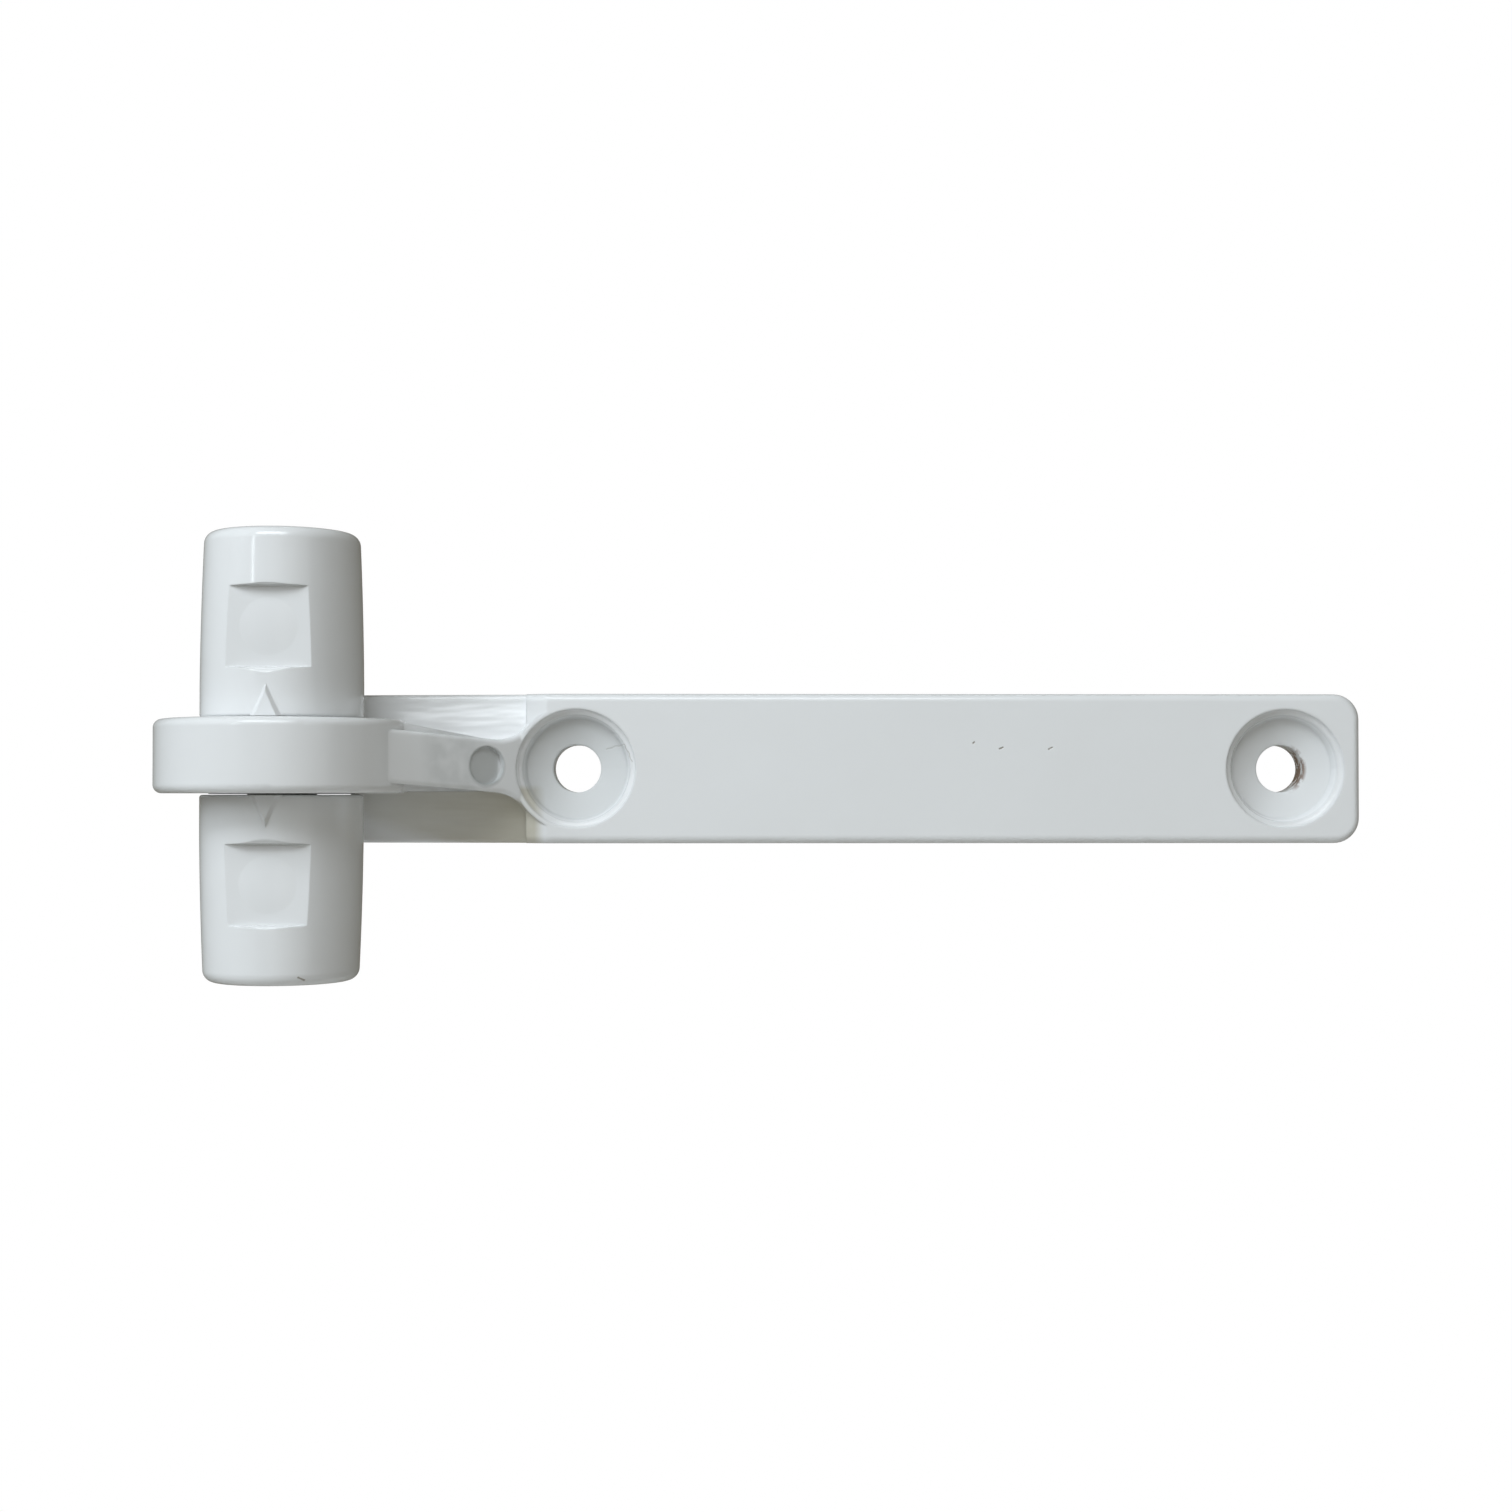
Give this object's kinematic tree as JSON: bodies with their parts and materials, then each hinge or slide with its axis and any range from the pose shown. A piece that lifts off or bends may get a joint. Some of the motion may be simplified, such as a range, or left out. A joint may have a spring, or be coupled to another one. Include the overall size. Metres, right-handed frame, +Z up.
{
  "type": "window_hinge",
  "caption": "Cranked sash hinge: a white strap leaf with countersunk screw holes on an eye, turning on a pin between two capped frame carriers with threaded studs",
  "frame": {"origin": "midway between the two frame studs, on the window frame's face that the washers bear on", "axes": "+X along the leaf towards its free end, +Y through the leaf into the window frame, +Z up the hinge pin"},
  "size_m": [0.1597, 0.0568, 0.0586],
  "materials": {
    "white_coat": "gloss",
    "white_cap": "gloss",
    "bright_steel": "satin",
    "plated_steel": "satin",
    "black_steel": "satin",
    "zinc_cast": "matte",
    "bush_polymer": "matte",
    "ring_rubber": "matte"
  },
  "bodies": {
    "frame_side": {"upper_carrier": "zinc_cast", "lower_carrier": "zinc_cast", "hinge_pin": "bright_steel", "frame_studs": "plated_steel", "lock_nuts": "plated_steel", "washers": "plated_steel", "grub_screws": "black_steel", "upper_cap_ring": "ring_rubber", "lower_cap_ring": "ring_rubber"},
    "leaf": {"sash_leaf": "white_coat", "upper_bush": "bush_polymer", "lower_bush": "bush_polymer"},
    "upper_cover": {"upper_cap": "white_cap"},
    "lower_cover": {"lower_cap": "white_cap"}
  },
  "joints": [
    {"name": "leaf_swing", "type": "hinge", "parent": "frame_side", "child": "leaf", "pos_m": [0, -0.0184, 0], "axis": [0, 0, 1], "range_deg": [-180, 0]},
    {"name": "upper_cap_pull", "type": "slide", "parent": "frame_side", "child": "upper_cover", "axis": [0, 0, 1], "range_m": [0, 0.022]},
    {"name": "lower_cap_pull", "type": "slide", "parent": "frame_side", "child": "lower_cover", "axis": [0, 0, -1], "range_m": [0, 0.022]}
  ]
}
